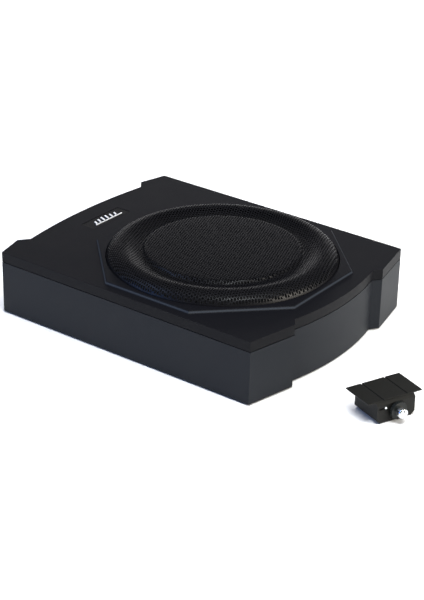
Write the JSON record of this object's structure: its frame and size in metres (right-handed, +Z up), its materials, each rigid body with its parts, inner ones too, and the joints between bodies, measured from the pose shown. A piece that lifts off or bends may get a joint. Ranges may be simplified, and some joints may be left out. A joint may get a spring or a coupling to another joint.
{
  "type": "powered car subwoofer with remote level control",
  "caption": "Slim under-seat powered subwoofer: flared rectangular cabinet, octagonal plateau, ridged round mesh grille, rear control bay and a winged remote level knob.",
  "frame": {"origin": "centre of the four floor bolts on the floor plane, under the feet", "axes": "+X along the long side towards the driver end, -Y the long side seen first, +Z up"},
  "size_m": [0.4738, 0.279, 0.0847],
  "materials": {
    "coated_aluminium": "fine textured black powder coat",
    "moulded_cover": "fine grained black moulding",
    "foam_gasket": "soft closed-cell foam",
    "black_screw": "black oxide",
    "foot_rubber": "matt rubber",
    "insert_brass": "bright brass",
    "grille_steel": "satin black perforated steel",
    "badge_black": "gloss black",
    "badge_silver": "bright silver",
    "basket_steel": "black epoxy coat",
    "surround_rubber": "butyl rubber",
    "spider_cloth": "resin-dipped cloth",
    "ferrite": "grey ferrite",
    "motor_steel": "zinc plated",
    "cone_paper": "coated pulp",
    "former_kapton": "amber film",
    "copper": "enamelled copper",
    "board_green": "solder mask",
    "bare_aluminium": "milled",
    "component_black": "moulded epoxy",
    "capacitor_sleeve": "shrink sleeve",
    "lead_red": "flexible insulation",
    "felt": "needled felt",
    "panel_steel": "satin black",
    "nickel": "nickel plate",
    "socket_white": "nylon",
    "socket_black": "nylon",
    "fuse_orange": "translucent",
    "led_lens": "clear lens",
    "pot_blue": "moulded",
    "knob_black": "soft satin",
    "switch_metal": "tinned",
    "remote_shell": "fine grained black moulding",
    "chrome_cap": "mirror chrome"
  },
  "bodies": {
    "cabinet": {"bottom_tub": "coated_aluminium", "top_cover": "moulded_cover", "cover_gasket": "foam_gasket", "cover_screws": "black_screw", "rubber_feet": "foot_rubber", "floor_inserts": "insert_brass", "grille_mesh": "grille_steel", "grille_ring": "panel_steel", "badge_plate": "badge_black", "badge_emblem": "badge_silver", "speaker_basket": "basket_steel", "basket_gasket": "foam_gasket", "basket_screws": "black_screw", "surround": "surround_rubber", "spider": "spider_cloth", "magnet": "ferrite", "front_plate": "motor_steel", "back_plate": "motor_steel", "terminal_strip": "insert_brass", "tinsel_leads": "copper", "amplifier_board": "board_green", "board_standoffs": "nickel", "heat_spreader": "bare_aluminium", "power_transistors": "component_black", "board_capacitors": "capacitor_sleeve", "output_choke": "copper", "speaker_leads": "lead_red", "damping_pad": "felt", "control_panel": "panel_steel", "panel_screws": "black_screw", "rca_jacks": "nickel", "power_socket": "socket_white", "fuse_holder": "socket_black", "blade_fuse": "fuse_orange", "remote_socket": "socket_black", "power_led": "led_lens", "control_pots": "pot_blue", "phase_switch_body": "switch_metal"},
    "cone_assembly": {"cone": "cone_paper", "dust_cap": "cone_paper", "coil_former": "former_kapton", "voice_coil": "copper"},
    "gain_knob": {"gain_knob": "knob_black"},
    "crossover_knob": {"crossover_knob": "knob_black"},
    "boost_knob": {"boost_knob": "knob_black"},
    "phase_switch": {"phase_switch_lever": "socket_white"},
    "remote": {"remote_plate": "remote_shell", "remote_case": "remote_shell", "remote_case_screws": "black_screw", "remote_board": "board_green", "remote_pot": "switch_metal", "remote_led": "led_lens", "remote_jack": "socket_black"},
    "remote_level_knob": {"remote_knob": "knob_black", "remote_knob_cap": "chrome_cap"}
  },
  "joints": [
    {"name": "cone_travel", "type": "slide", "parent": "cabinet", "child": "cone_assembly", "axis": [0, 0, 1], "range_m": [-0.006, 0.006], "stiffness_N_per_m": 2600, "deforming": ["surround", "spider", "tinsel_leads"]},
    {"name": "gain_turn", "type": "hinge", "parent": "cabinet", "child": "gain_knob", "pos_m": [-0.159, 0.038, 0.03], "axis": [-1, 0, 0], "range_deg": [-150, 150]},
    {"name": "crossover_turn", "type": "hinge", "parent": "cabinet", "child": "crossover_knob", "pos_m": [-0.159, 0.051, 0.03], "axis": [-1, 0, 0], "range_deg": [-150, 150]},
    {"name": "boost_turn", "type": "hinge", "parent": "cabinet", "child": "boost_knob", "pos_m": [-0.159, 0.064, 0.03], "axis": [-1, 0, 0], "range_deg": [-150, 150]},
    {"name": "phase_slide", "type": "slide", "parent": "cabinet", "child": "phase_switch", "axis": [0, 1, 0], "range_m": [0, 0.004]},
    {"name": "remote_lift", "type": "slide", "parent": "cabinet", "child": "remote", "axis": [0, 0, 1], "range_m": [0, 0.12]},
    {"name": "level_turn", "type": "hinge", "parent": "remote", "child": "remote_level_knob", "pos_m": [0.28886, -0.07023, 0.012], "axis": [0.9239, -0.3827, 0], "range_deg": [-150, 150]}
  ]
}
